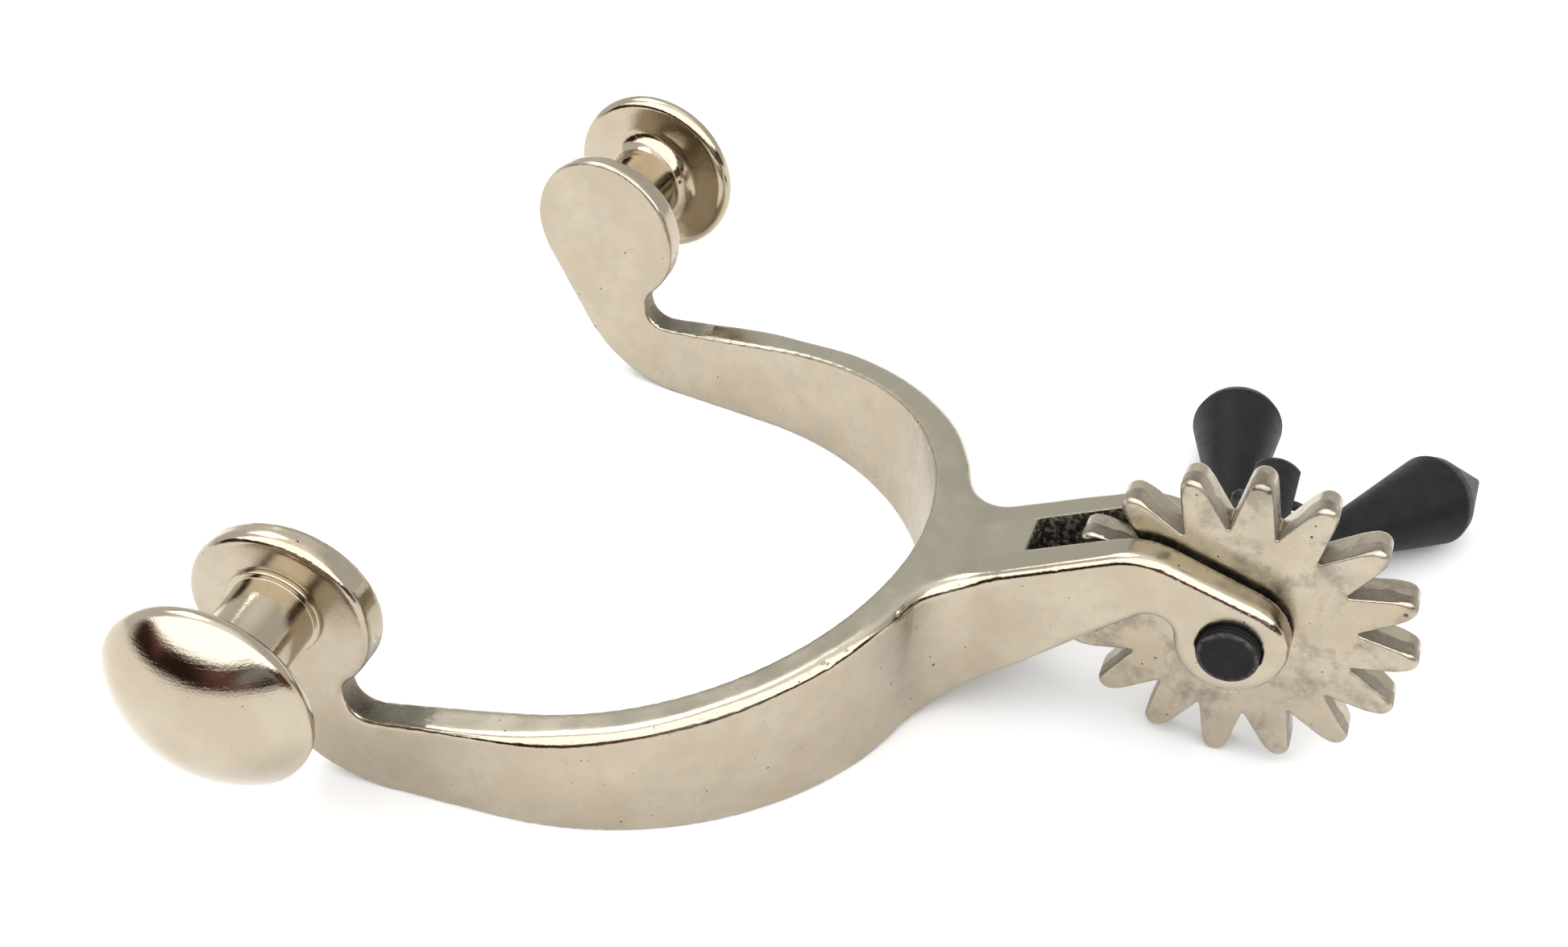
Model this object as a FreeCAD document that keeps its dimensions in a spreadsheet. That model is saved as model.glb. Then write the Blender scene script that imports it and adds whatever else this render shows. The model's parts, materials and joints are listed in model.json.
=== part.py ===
import FreeCAD, Part
import math
import os
import Sketcher
from FreeCAD import Placement, Rotation, Vector

# A western riding spur: a cast heel band that ends in two ears and a forked shank, two strap
# buttons, a 16-point rowel on a pin, and two jingle bobs that hang from the far end of the pin.
#
# Frame: the origin is the centre of the round boot heel, on the surface the spur lies on.
# +X points back to the rowel, +Z points up, and +Y is the side the jingle bobs hang on.

THREAD_TURNS = 2
BOBS = (("left", -1, "bob_left_turn"), ("right", 1, "bob_right_turn"))

# The two corners that round a bob's shoulder, as shares of its size: how far each lies inside the
# full radius, and how far it lies past the shoulder.
SHOULDER_CORNERS = ((0.05, -0.3), (0.35, 0.4))

doc = FreeCAD.newDocument("spur")

# ---------------------------------------------------------------- driving dimensions, mm and degrees

SIZES = {
    # heel band, seen from above
    "heel_radius": 30.6,
    "band_thickness": 3.7,
    "inner_toe_out": 7.0,
    "outer_toe_out": 3.3,
    "front_reach": 27.0,
    # heel band, seen from the side
    "ear_reach": 17.1,
    "ear_height": 19.0,
    "ear_radius": 8.6,
    "front_fillet": 14.0,
    "front_fillet_reach": 7.8,
    "notch_radius": 2.5,
    "notch_reach": 9.5,
    "branch_top_radius": 330.0,
    "crown_start": 29.0,
    "crown_radius": 12.0,
    "heel_height": 16.2,
    "heel_toe_radius": 8.0,
    "heel_toe_reach": 30.1,
    # shank and fork
    "shank_fillet": 6.5,
    "fork_half_width": 4.9,
    "shank_taper": 1.8,
    "shank_end": 70.0,
    "shank_blend": 12.0,
    "shank_rise": 26.1,
    "shank_under_rise": 41.4,
    "knee_radius": 7.0,
    "knee_reach": 52.1,
    "knee_centre_height": 16.75,
    "fork_radius": 5.1,
    "fork_under_radius": 2.0,
    "slot_width": 4.5,
    "slot_start": 41.2,
    # rowel
    "rowel_reach": 60.7,
    "rowel_height": 16.0,
    "rowel_radius": 16.0,
    "rowel_root_radius": 10.7,
    "rowel_thickness": 3.5,
    "rowel_bore_radius": 2.85,
    "tooth_count": 16,
    "tooth_tip_radius": 1.1,
    "tooth_foot_half_width": 2.05,
    "tooth_foot_inset": 0.5,
    "tooth_phase": 1.9,
    # rowel pin
    "pin_radius": 2.8,
    "pin_near_end": 6.35,
    "pin_far_end": 21.3,
    "pin_chamfer": 0.5,
    "pin_flat_start": 14.0,
    "pin_flat_half_width": 2.2,
    "cross_hole_reach": 17.5,
    "thread_pitch": 0.5,
    "thread_depth": 0.12,
    "cross_hole_radius": 0.55,
    # strap buttons
    "button_reach": 17.2,
    "button_height": 19.7,
    "tenon_radius": 2.5,
    "tenon_depth": 1.4,
    "tenon_clearance": 0.05,
    "collar_radius": 4.5,
    "collar_height": 0.5,
    "stem_radius": 3.9,
    "head_radius": 9.54,
    "head_start": 7.2,
    "rim_height": 10.2,
    "head_height": 16.1,
    "rim_round": 1.1,
    # jingle bobs and what they hang from
    "wire_radius": 0.5,
    "leg_reach": 3.2,
    "hanger_drop": 11.6,
    "hanger_droop": 64.0,
    "link_ring_radius": 1.7,
    "eye_ring_radius": 1.6,
    "left_slack": 0.45,
    "right_slack": -0.4,
    "bob_neck": 4.35,
    "bob_neck_radius": 1.8,
    "bob_length": 17.4,
    "bob_radius": 4.92,
    "bob_edge": 0.4,
    "bob_tip_radius": 0.3,
    "bob_shoulder": 1.5,
    "bob_point": 6.2,
    "eye_depth": 3.0,
    "bob_left_turn": -7.0,
    "bob_right_turn": 38.3,
}

sheet = doc.addObject("Spreadsheet::Sheet", "sizes")
for row, (alias, amount) in enumerate(SIZES.items(), start=1):
    sheet.set(f"A{row}", alias)
    sheet.set(f"B{row}", str(amount))
    sheet.setAlias(f"B{row}", alias)
doc.recompute()


def size(alias):
    return float(sheet.get(alias))


def value(expression):
    """What an expression of the sheet's cells comes to, such as sizes.ear_reach + 1."""
    result = sheet.evalExpression(expression)
    return math.radians(result.Value) if hasattr(result, "Value") else result


# ---------------------------------------------------------------- sketch helpers

START, END, CENTRE = 1, 2, 3
ORIGIN = -1
X_AXIS = -1
Y_AXIS = -2


def plane_of(body, role):
    return next(o for o in body.Origin.OriginFeatures if o.Role == role)


def new_sketch(body, name, role):
    sketch = body.newObject("Sketcher::SketchObject", name)
    sketch.AttachmentSupport = (plane_of(body, role), [""])
    sketch.MapMode = "FlatFace"
    return sketch


def line(sketch, start, end):
    return sketch.addGeometry(Part.LineSegment(Vector(*start, 0), Vector(*end, 0)), False)


def arc(sketch, centre, radius, first, last):
    """An arc that runs anticlockwise from the angle first to the angle last, in degrees."""
    circle = Part.Circle(Vector(*centre, 0), Vector(0, 0, 1), radius)
    return sketch.addGeometry(
        Part.ArcOfCircle(circle, math.radians(first), math.radians(last)), False
    )


def join(sketch, kind, first, first_point, second, second_point):
    sketch.addConstraint(Sketcher.Constraint(kind, first, first_point, second, second_point))


def bind(sketch, name, expression, kind, *geometry):
    """A dimension that follows the sheet."""
    index = sketch.addConstraint(Sketcher.Constraint(kind, *geometry, value(expression)))
    sketch.renameConstraint(index, name)
    sketch.setExpression(f"Constraints.{name}", expression)


def across(sketch, name, expression, geometry, point):
    """How far a point is from the sketch's vertical axis, to either side."""
    if value(expression) < 0:
        bind(sketch, name, f"-({expression})", "DistanceX", geometry, point, ORIGIN, START)
    else:
        bind(sketch, name, expression, "DistanceX", ORIGIN, START, geometry, point)


def along(sketch, name, expression, geometry, point):
    """How far a point is above or below the sketch's horizontal axis."""
    if value(expression) < 0:
        bind(sketch, name, f"-({expression})", "DistanceY", geometry, point, ORIGIN, START)
    else:
        bind(sketch, name, expression, "DistanceY", ORIGIN, START, geometry, point)


def check_sketch(sketch):
    if sketch.solve() != 0:
        raise RuntimeError(f"{sketch.Name} does not solve")


def turned(body, sketch_name, feature_name, corners):
    """A piece turned about its Y axis; each corner is a radius and a height from the sheet."""
    sketch = new_sketch(body, sketch_name, "XY_Plane")
    points = [(value(radius), value(height)) for radius, height in corners]
    edges = [line(sketch, a, b) for a, b in zip(points, points[1:] + points[:1])]
    for first, second in zip(edges, edges[1:] + edges[:1]):
        join(sketch, "Coincident", first, END, second, START)
    for number, (edge, (radius, height)) in enumerate(zip(edges, corners), start=1):
        across(sketch, f"radius_{number}", radius, edge, START)
        along(sketch, f"height_{number}", height, edge, START)
    check_sketch(sketch)
    body.Tip = revolve(body, feature_name, sketch, "Y_Axis")


def pad(body, name, sketch, length, both_ways=False):
    feature = body.newObject("PartDesign::Pad", name)
    feature.Profile = sketch
    feature.setExpression("Length", length)
    feature.Midplane = both_ways
    return feature


def revolve(body, name, sketch, axis):
    feature = body.newObject("PartDesign::Revolution", name)
    feature.Profile = sketch
    feature.ReferenceAxis = (plane_of(body, axis), [""])
    feature.Angle = 360
    return feature


# ---------------------------------------------------------------- heel band, shank and ears

def band_plan():
    """Half of the band and shank, seen from above, up to the plane of symmetry."""
    body = doc.addObject("PartDesign::Body", "band_plan")
    sketch = new_sketch(body, "plan_outline", "XY_Plane")
    inner, outer = size("heel_radius"), size("heel_radius") + size("band_thickness")
    inner_toe, outer_toe = size("inner_toe_out"), size("outer_toe_out")
    front = -size("front_reach")
    end = size("shank_end")
    side = size("fork_half_width")
    fillet = size("shank_fillet")
    root = side + (end - outer) * math.tan(math.radians(size("shank_taper")))
    fillet_x = math.sqrt((outer + fillet) ** 2 - (root + fillet) ** 2)

    def on_circle(radius, toe):
        return radius * math.sin(math.radians(toe)), radius * math.cos(math.radians(toe))

    def at_front(radius, toe):
        x, y = on_circle(radius, toe)
        return front, y + (x - front) * math.tan(math.radians(toe))

    heel_in = arc(sketch, (0, 0), inner, 0, 90 - inner_toe)
    branch_in = line(sketch, on_circle(inner, inner_toe), at_front(inner, inner_toe))
    front_end = line(sketch, at_front(inner, inner_toe), at_front(outer, outer_toe))
    branch_out = line(sketch, at_front(outer, outer_toe), on_circle(outer, outer_toe))
    heel_angle = math.degrees(math.atan2(root + fillet, fillet_x))
    heel_out = arc(sketch, (0, 0), outer, heel_angle, 90 - outer_toe)
    root_blend = arc(sketch, (fillet_x, root + fillet), fillet, 180 + heel_angle, 270)
    shank_side = line(sketch, (fillet_x, root), (end, side))
    shank_stop = line(sketch, (end, side), (end, 0))
    middle = line(sketch, (end, 0), (inner, 0))

    join(sketch, "Tangent", heel_in, END, branch_in, START)
    join(sketch, "Coincident", branch_in, END, front_end, START)
    join(sketch, "Coincident", front_end, END, branch_out, START)
    join(sketch, "Tangent", branch_out, END, heel_out, END)
    join(sketch, "Tangent", heel_out, START, root_blend, START)
    join(sketch, "Tangent", root_blend, END, shank_side, START)
    join(sketch, "Coincident", shank_side, END, shank_stop, START)
    join(sketch, "Coincident", shank_stop, END, middle, START)
    join(sketch, "Coincident", middle, END, heel_in, START)
    join(sketch, "Coincident", heel_in, CENTRE, ORIGIN, START)
    join(sketch, "Coincident", heel_out, CENTRE, ORIGIN, START)
    sketch.addConstraint(Sketcher.Constraint("Vertical", front_end))
    sketch.addConstraint(Sketcher.Constraint("Vertical", shank_stop))
    sketch.addConstraint(Sketcher.Constraint("PointOnObject", middle, START, X_AXIS))
    sketch.addConstraint(Sketcher.Constraint("PointOnObject", middle, END, X_AXIS))
    bind(sketch, "inner_radius", "sizes.heel_radius", "Radius", heel_in)
    bind(sketch, "outer_radius", "sizes.heel_radius + sizes.band_thickness", "Radius", heel_out)
    bind(sketch, "inner_sweep", "(90 - sizes.inner_toe_out) * 1 deg", "Angle", heel_in)
    bind(sketch, "outer_toe_out", "-sizes.outer_toe_out * 1 deg", "Angle", branch_out)
    bind(sketch, "root_fillet", "sizes.shank_fillet", "Radius", root_blend)
    bind(sketch, "taper", "sizes.shank_taper * 1 deg", "Angle", shank_side, END, middle, START)
    across(sketch, "front", "-sizes.front_reach", front_end, START)
    across(sketch, "shank_end", "sizes.shank_end", shank_stop, START)
    along(sketch, "side", "sizes.fork_half_width", shank_stop, START)
    check_sketch(sketch)
    half = pad(body, "half_plan", sketch, "2 * sizes.ear_height")
    mirror = body.newObject("PartDesign::Mirrored", "whole_plan")
    mirror.Originals = [half]
    mirror.MirrorPlane = (plane_of(body, "XZ_Plane"), [""])
    body.Tip = mirror
    return body


def band_side():
    """The whole casting seen from the side: ear, branch, heel, shank and fork."""
    body = doc.addObject("PartDesign::Body", "band_side")
    sketch = new_sketch(body, "side_outline", "XZ_Plane")

    def at(centre, radius, angle):
        return (
            centre[0] + radius * math.cos(math.radians(angle)),
            centre[1] + radius * math.sin(math.radians(angle)),
        )

    # The tangencies settle these, so they only have to start near their places.
    notch_height = 11.4
    branch_start, branch_end = -84, -77.3
    front_slope = 211
    blend_reach = 33.5
    fork_slope = 67.6
    under_offset = (-7.1, -1.25)

    ear = (-size("ear_reach"), size("ear_height"))
    ear_radius = size("ear_radius")
    notch = (-size("notch_reach"), notch_height)
    notch_radius = size("notch_radius")
    to_ear = math.degrees(math.atan2(ear[1] - notch[1], ear[0] - notch[0]))
    front = (-size("front_fillet_reach"), size("front_fillet"))
    front_radius = size("front_fillet")
    top_radius = size("branch_top_radius")
    top_centre = at(at(notch, notch_radius, branch_start), -top_radius, branch_start)
    top_end = at(top_centre, top_radius, branch_end)
    crown_radius = size("crown_radius")
    crown = at(top_end, crown_radius, branch_end)
    heel_top = size("heel_height")
    blend_radius = size("shank_blend")
    rise = size("shank_rise")
    under_rise = size("shank_under_rise")
    knee = (size("knee_reach"), size("knee_centre_height"))
    knee_radius = size("knee_radius")
    pin = (size("rowel_reach"), size("rowel_height"))
    fork_radius = size("fork_radius")
    under_radius = size("fork_under_radius")
    under = (pin[0] + under_offset[0], pin[1] + under_offset[1])
    to_under = math.degrees(math.atan2(under[1] - pin[1], under[0] - pin[0])) + 360
    toe = (size("heel_toe_reach"), size("heel_toe_radius"))
    toe_radius = size("heel_toe_radius")
    blend = (blend_reach, heel_top + blend_radius)

    ear_round = arc(sketch, ear, ear_radius, to_ear - 180, front_slope)
    notch_round = arc(sketch, notch, notch_radius, to_ear, 360 + branch_start)
    top = arc(sketch, top_centre, top_radius, branch_start, branch_end)
    crown_round = arc(sketch, crown, crown_radius, 90, 180 + branch_end)
    heel_flat = line(sketch, (crown[0], heel_top), (blend[0], heel_top))
    blend_round = arc(sketch, blend, blend_radius, 270, 270 + rise)
    shank_top = line(sketch, at(blend, blend_radius, 270 + rise), at(knee, knee_radius, 90 + rise))
    knee_round = arc(sketch, knee, knee_radius, fork_slope, 90 + rise)
    fork_top = line(sketch, at(knee, knee_radius, fork_slope), at(pin, fork_radius, fork_slope))
    fork_round = arc(sketch, pin, fork_radius, to_under, 360 + fork_slope)
    under_round = arc(sketch, under, under_radius, to_under - 180, 90 + under_rise)
    under_side = line(sketch, at(under, under_radius, 90 + under_rise),
                      at(toe, toe_radius, 270 + under_rise))
    toe_round = arc(sketch, toe, toe_radius, 270, 270 + under_rise)
    sole = line(sketch, (toe[0], 0), (front[0], 0))
    front_round = arc(sketch, front, front_radius, front_slope, 270)
    front_line = line(sketch, at(front, front_radius, front_slope),
                      at(ear, ear_radius, front_slope))

    join(sketch, "Tangent", ear_round, START, notch_round, START)
    join(sketch, "Tangent", notch_round, END, top, START)
    join(sketch, "Tangent", top, END, crown_round, END)
    join(sketch, "Tangent", crown_round, START, heel_flat, START)
    join(sketch, "Tangent", heel_flat, END, blend_round, START)
    join(sketch, "Tangent", blend_round, END, shank_top, START)
    join(sketch, "Tangent", shank_top, END, knee_round, END)
    join(sketch, "Tangent", knee_round, START, fork_top, START)
    join(sketch, "Tangent", fork_top, END, fork_round, END)
    join(sketch, "Tangent", fork_round, START, under_round, START)
    join(sketch, "Tangent", under_round, END, under_side, START)
    join(sketch, "Tangent", under_side, END, toe_round, END)
    join(sketch, "Tangent", toe_round, START, sole, START)
    join(sketch, "Tangent", sole, END, front_round, END)
    join(sketch, "Tangent", front_round, START, front_line, START)
    join(sketch, "Tangent", front_line, END, ear_round, END)

    for name, round_edge in (
        ("ear_radius", ear_round), ("notch_radius", notch_round), ("branch_top_radius", top),
        ("crown_radius", crown_round), ("shank_blend", blend_round), ("knee_radius", knee_round),
        ("fork_radius", fork_round), ("fork_under_radius", under_round),
        ("heel_toe_radius", toe_round), ("front_fillet", front_round),
    ):
        bind(sketch, name, f"sizes.{name}", "Radius", round_edge)
    across(sketch, "ear_reach", "-sizes.ear_reach", ear_round, CENTRE)
    along(sketch, "ear_height", "sizes.ear_height", ear_round, CENTRE)
    across(sketch, "notch_reach", "-sizes.notch_reach", notch_round, CENTRE)
    across(sketch, "crown_start", "sizes.crown_start", top, END)
    sketch.addConstraint(Sketcher.Constraint("Horizontal", heel_flat))
    along(sketch, "heel_height", "sizes.heel_height", heel_flat, START)
    bind(sketch, "shank_rise", "sizes.shank_rise * 1 deg", "Angle", shank_top)
    across(sketch, "knee_reach", "sizes.knee_reach", knee_round, CENTRE)
    along(sketch, "knee_height", "sizes.knee_centre_height", knee_round, CENTRE)
    across(sketch, "pin_reach", "sizes.rowel_reach", fork_round, CENTRE)
    along(sketch, "pin_height", "sizes.rowel_height", fork_round, CENTRE)
    bind(sketch, "under_rise", "sizes.shank_under_rise * 1 deg - 180 deg", "Angle", under_side)
    across(sketch, "heel_toe_reach", "sizes.heel_toe_reach", toe_round, CENTRE)
    sketch.addConstraint(Sketcher.Constraint("PointOnObject", sole, START, X_AXIS))
    sketch.addConstraint(Sketcher.Constraint("PointOnObject", sole, END, X_AXIS))
    across(sketch, "front_fillet_reach", "-sizes.front_fillet_reach", front_round, CENTRE)
    check_sketch(sketch)
    pad(body, "whole_side", sketch, "3 * sizes.heel_radius", both_ways=True)
    return body


def common(name, first, second):
    shape = doc.addObject("Part::Common", name)
    shape.Base = first
    shape.Tool = second
    return shape


def cut(name, base, tool):
    shape = doc.addObject("Part::Cut", name)
    shape.Base = base
    shape.Tool = tool
    return shape


def fuse(name, shapes):
    joined = doc.addObject("Part::MultiFuse", name)
    joined.Shapes = shapes
    return joined


def place(item, x="0", y="0", z="0", axis=Vector(0, 0, 1), angle=0.0):
    """Put an object at a point given by expressions, turned by an angle about an axis."""
    item.Placement = Placement(Vector(0, 0, 0), Rotation(axis, angle))
    item.setExpression("Placement.Base.x", x)
    item.setExpression("Placement.Base.y", y)
    item.setExpression("Placement.Base.z", z)


def rod(name, radius, length):
    cylinder = doc.addObject("Part::Cylinder", name)
    cylinder.setExpression("Radius", radius)
    cylinder.setExpression("Height", length)
    return cylinder


def ring(name, mean_radius, wire_radius):
    torus = doc.addObject("Part::Torus", name)
    torus.setExpression("Radius1", mean_radius)
    torus.setExpression("Radius2", wire_radius)
    return torus


LENGTHWISE = Vector(1, 0, 0)
SIDEWAYS = Vector(0, 1, 0)
UPWARD = Vector(0, 0, 1)


def button_seat(sign):
    """Where a strap button stands: the point on the ear's outer face, and the way outward."""
    toe = math.radians(size("outer_toe_out"))
    outer = size("heel_radius") + size("band_thickness")
    reach = size("button_reach")
    face = (outer + reach * math.sin(toe)) / math.cos(toe)
    outward = Vector(math.sin(toe), sign * math.cos(toe), 0)
    return Vector(-reach, sign * face, size("button_height")), outward


def heel_band():
    """The casting: its plan and its side view, less the rowel slot, pin bore and button seats."""
    blank = common("band_blank", band_plan(), band_side())
    slot = doc.addObject("Part::Box", "rowel_slot")
    slot.setExpression("Length", "sizes.shank_end - sizes.slot_start")
    slot.setExpression("Width", "sizes.slot_width")
    slot.setExpression("Height", "2 * sizes.rowel_height")
    place(slot, "sizes.slot_start", "-sizes.slot_width / 2")
    bore = rod("pin_bore", "sizes.pin_radius", "4 * sizes.fork_half_width")
    place(bore, "sizes.rowel_reach", "2 * sizes.fork_half_width", "sizes.rowel_height",
          LENGTHWISE, 90)
    seats = []
    for side, sign in (("left", 1), ("right", -1)):
        seat = rod(f"button_seat_{side}", "sizes.tenon_radius", "2 * sizes.tenon_depth")
        face, outward = button_seat(sign)
        floor = face - outward * (size("tenon_depth") + size("tenon_clearance"))
        seat.Placement = Placement(floor, Rotation(UPWARD, outward))
        seats.append(seat)
    cutters = fuse("band_cutters", [slot, bore] + seats)
    return cut("heel_band", blank, cutters)


def strap_button(side, sign):
    """A turned stud: tenon, collar, stem and mushroom head, its axis square to the ear."""
    body = doc.addObject("PartDesign::Body", f"button_{side}")
    sketch = new_sketch(body, f"button_outline_{side}", "XY_Plane")
    tenon, depth = size("tenon_radius"), size("tenon_depth")
    collar, collar_top = size("collar_radius"), size("collar_height")
    stem, head, start = size("stem_radius"), size("head_radius"), size("head_start")
    rim, top = size("rim_height"), size("head_height")
    flare = rim - start
    round_radius = size("rim_round")
    round_centre = (head - round_radius, rim + round_radius)
    above = top - round_centre[1]
    dome = (round_centre[0] ** 2 + above ** 2 - round_radius ** 2) / (2 * (above - round_radius))
    rim_angle = math.degrees(math.atan2(dome - above, round_centre[0]))

    axis = line(sketch, (0, top), (0, -depth))
    tenon_end = line(sketch, (0, -depth), (tenon, -depth))
    tenon_side = line(sketch, (tenon, -depth), (tenon, 0))
    seat = line(sketch, (tenon, 0), (collar, 0))
    collar_side = line(sketch, (collar, 0), (collar, collar_top))
    shoulder = line(sketch, (collar, collar_top), (stem, collar_top))
    stem_side = line(sketch, (stem, collar_top), (stem, start))
    underside = arc(sketch, (stem + flare, start), flare, 90, 180)
    lip = line(sketch, (stem + flare, rim), (round_centre[0], rim))
    rim_edge = arc(sketch, round_centre, round_radius, -90, rim_angle)
    crown = arc(sketch, (0, top - dome), dome, rim_angle, 90)

    chain = [axis, tenon_end, tenon_side, seat, collar_side, shoulder, stem_side]
    for first, second in zip(chain, chain[1:]):
        join(sketch, "Coincident", first, END, second, START)
    join(sketch, "Tangent", stem_side, END, underside, END)
    join(sketch, "Tangent", underside, START, lip, START)
    join(sketch, "Tangent", lip, END, rim_edge, START)
    join(sketch, "Tangent", rim_edge, END, crown, START)
    join(sketch, "Coincident", crown, END, axis, START)
    for upright in (tenon_side, collar_side, stem_side, axis):
        sketch.addConstraint(Sketcher.Constraint("Vertical", upright))
    for flat in (tenon_end, seat, shoulder, lip):
        sketch.addConstraint(Sketcher.Constraint("Horizontal", flat))
    sketch.addConstraint(Sketcher.Constraint("PointOnObject", seat, START, X_AXIS))
    sketch.addConstraint(Sketcher.Constraint("PointOnObject", axis, START, Y_AXIS))
    sketch.addConstraint(Sketcher.Constraint("PointOnObject", crown, CENTRE, Y_AXIS))
    across(sketch, "tenon_radius", "sizes.tenon_radius", tenon_side, START)
    along(sketch, "tenon_depth", "-sizes.tenon_depth", tenon_side, START)
    across(sketch, "collar_radius", "sizes.collar_radius", collar_side, START)
    along(sketch, "collar_height", "sizes.collar_height", shoulder, START)
    across(sketch, "stem_radius", "sizes.stem_radius", stem_side, START)
    along(sketch, "head_start", "sizes.head_start", stem_side, END)
    bind(sketch, "rim_round", "sizes.rim_round", "Radius", rim_edge)
    across(sketch, "head_radius", "sizes.head_radius - sizes.rim_round", rim_edge, CENTRE)
    along(sketch, "rim_height", "sizes.rim_height", lip, END)
    along(sketch, "head_height", "sizes.head_height", axis, START)
    check_sketch(sketch)
    body.Tip = revolve(body, f"button_turned_{side}", sketch, "Y_Axis")
    face, outward = button_seat(sign)
    body.Placement = Placement(face, Rotation(SIDEWAYS, outward))
    return body


def rowel():
    """A wheel with 16 blunt teeth, turning on the pin."""
    body = doc.addObject("PartDesign::Body", "rowel")
    disc = new_sketch(body, "rowel_disc", "XZ_Plane")
    rim = disc.addGeometry(Part.Circle(Vector(0, 0, 0), UPWARD, size("rowel_root_radius")), False)
    hub = disc.addGeometry(Part.Circle(Vector(0, 0, 0), UPWARD, size("rowel_bore_radius")), False)
    for circle in (rim, hub):
        join(disc, "Coincident", circle, CENTRE, ORIGIN, 1)
    bind(disc, "root", "sizes.rowel_root_radius", "Radius", rim)
    bind(disc, "bore", "sizes.rowel_bore_radius", "Radius", hub)
    check_sketch(disc)
    pad(body, "disc", disc, "sizes.rowel_thickness", both_ways=True)

    outline = new_sketch(body, "tooth_outline", "XZ_Plane")
    foot = value("sizes.rowel_root_radius - sizes.tooth_foot_inset")
    half = size("tooth_foot_half_width")
    tip = size("tooth_tip_radius")
    centre = size("rowel_radius") - tip
    lean = math.degrees(math.atan2(half - tip, centre - foot))
    touch = (centre + tip * math.sin(math.radians(lean)), tip * math.cos(math.radians(lean)))
    upper = line(outline, (foot, half), touch)
    end = arc(outline, (centre, 0), tip, lean - 90, 90 - lean)
    lower = line(outline, (touch[0], -touch[1]), (foot, -half))
    root = line(outline, (foot, -half), (foot, half))
    join(outline, "Tangent", upper, END, end, END)
    join(outline, "Tangent", end, START, lower, START)
    join(outline, "Coincident", lower, END, root, START)
    join(outline, "Coincident", root, END, upper, START)
    outline.addConstraint(Sketcher.Constraint("PointOnObject", end, CENTRE, X_AXIS))
    outline.addConstraint(Sketcher.Constraint("Symmetric", root, START, root, END, X_AXIS))
    across(outline, "foot", "sizes.rowel_root_radius - sizes.tooth_foot_inset", root, START)
    along(outline, "half_width", "sizes.tooth_foot_half_width", root, END)
    bind(outline, "tip_radius", "sizes.tooth_tip_radius", "Radius", end)
    across(outline, "tip_centre", "sizes.rowel_radius - sizes.tooth_tip_radius", end, CENTRE)
    check_sketch(outline)
    tooth = pad(body, "tooth", outline, "sizes.rowel_thickness", both_ways=True)
    teeth = body.newObject("PartDesign::PolarPattern", "teeth")
    teeth.Originals = [tooth]
    teeth.Axis = (plane_of(body, "Y_Axis"), [""])
    teeth.Angle = 360
    teeth.setExpression("Occurrences", "sizes.tooth_count")
    body.Tip = teeth
    place(body, "sizes.rowel_reach", "0", "sizes.rowel_height", SIDEWAYS, -size("tooth_phase"))
    return body


def rowel_pin():
    """A turned pin: a threaded end in the near fork, and a cross-drilled end with two flats."""
    body = doc.addObject("PartDesign::Body", "pin_blank")
    ridge, groove = "sizes.pin_radius", "sizes.pin_radius - sizes.thread_depth"
    near, far = "-sizes.pin_near_end", "sizes.pin_far_end"
    corners = [("0", near), (groove, near)]
    for half_turns in range(1, 2 * THREAD_TURNS + 2):
        edge = ridge if half_turns % 2 else groove
        corners.append((edge, f"{near} + {half_turns} * sizes.thread_pitch / 2"))
    corners += [
        (ridge, f"{far} - sizes.pin_chamfer"),
        ("sizes.pin_radius - sizes.pin_chamfer", far),
        ("0", far),
    ]
    turned(body, "pin_outline", "pin_turned", corners)
    place(body, "sizes.rowel_reach", "0", "sizes.rowel_height")

    flats = []
    for name, start in (("front", "-sizes.pin_flat_half_width - sizes.pin_radius"),
                        ("back", "sizes.pin_flat_half_width")):
        flat = doc.addObject("Part::Box", f"pin_flat_{name}")
        flat.setExpression("Length", "sizes.pin_radius")
        flat.setExpression("Width", "sizes.pin_far_end")
        flat.setExpression("Height", "2 * sizes.rowel_height")
        place(flat, f"sizes.rowel_reach + ({start})", "sizes.pin_flat_start")
        flats.append(flat)
    cross = rod("cross_hole", "sizes.cross_hole_radius", "4 * sizes.pin_radius")
    place(cross, "sizes.rowel_reach - 2 * sizes.pin_radius", "sizes.cross_hole_reach",
          "sizes.rowel_height", SIDEWAYS, 90)
    return cut("rowel_pin", body, fuse("pin_cutters", flats + [cross]))


def hanger_place():
    """The hanger's own frame: its wire crosses the pin along X, and its legs hang along Y."""
    return Placement(Vector(size("rowel_reach"), size("cross_hole_reach"), size("rowel_height")),
                     Rotation(LENGTHWISE, -size("hanger_droop")))


def ring_twist(turn):
    """How far a ring is twisted about its leg, so that the bob lies in the ring's plane."""
    sideways = math.tan(math.radians(turn))
    return math.degrees(math.atan(sideways / math.sin(math.radians(size("hanger_droop")))))


def hanger_link():
    """A wire through the pin's cross hole; each end is bent down to a leg that ends in a ring."""
    bar = rod("hanger_bar", "sizes.wire_radius", "2 * sizes.leg_reach")
    place(bar, "-sizes.leg_reach", axis=SIDEWAYS, angle=90)
    pieces = [bar]
    for side, sign, turn in BOBS:
        reach = f"{sign} * sizes.leg_reach"
        bend = doc.addObject("Part::Sphere", f"hanger_bend_{side}")
        bend.setExpression("Radius", "sizes.wire_radius")
        place(bend, reach)
        leg = rod(f"hanger_leg_{side}", "sizes.wire_radius",
                  "sizes.hanger_drop - sizes.link_ring_radius")
        place(leg, reach, axis=LENGTHWISE, angle=-90)
        loop = ring(f"hanger_ring_{side}", "sizes.link_ring_radius", "sizes.wire_radius")
        place(loop, reach, "sizes.hanger_drop", axis=SIDEWAYS, angle=90 + ring_twist(size(turn)))
        pieces += [bend, leg, loop]
    hanger = fuse("hanger_link", pieces)
    hanger.Placement = hanger_place()
    return hanger


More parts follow.
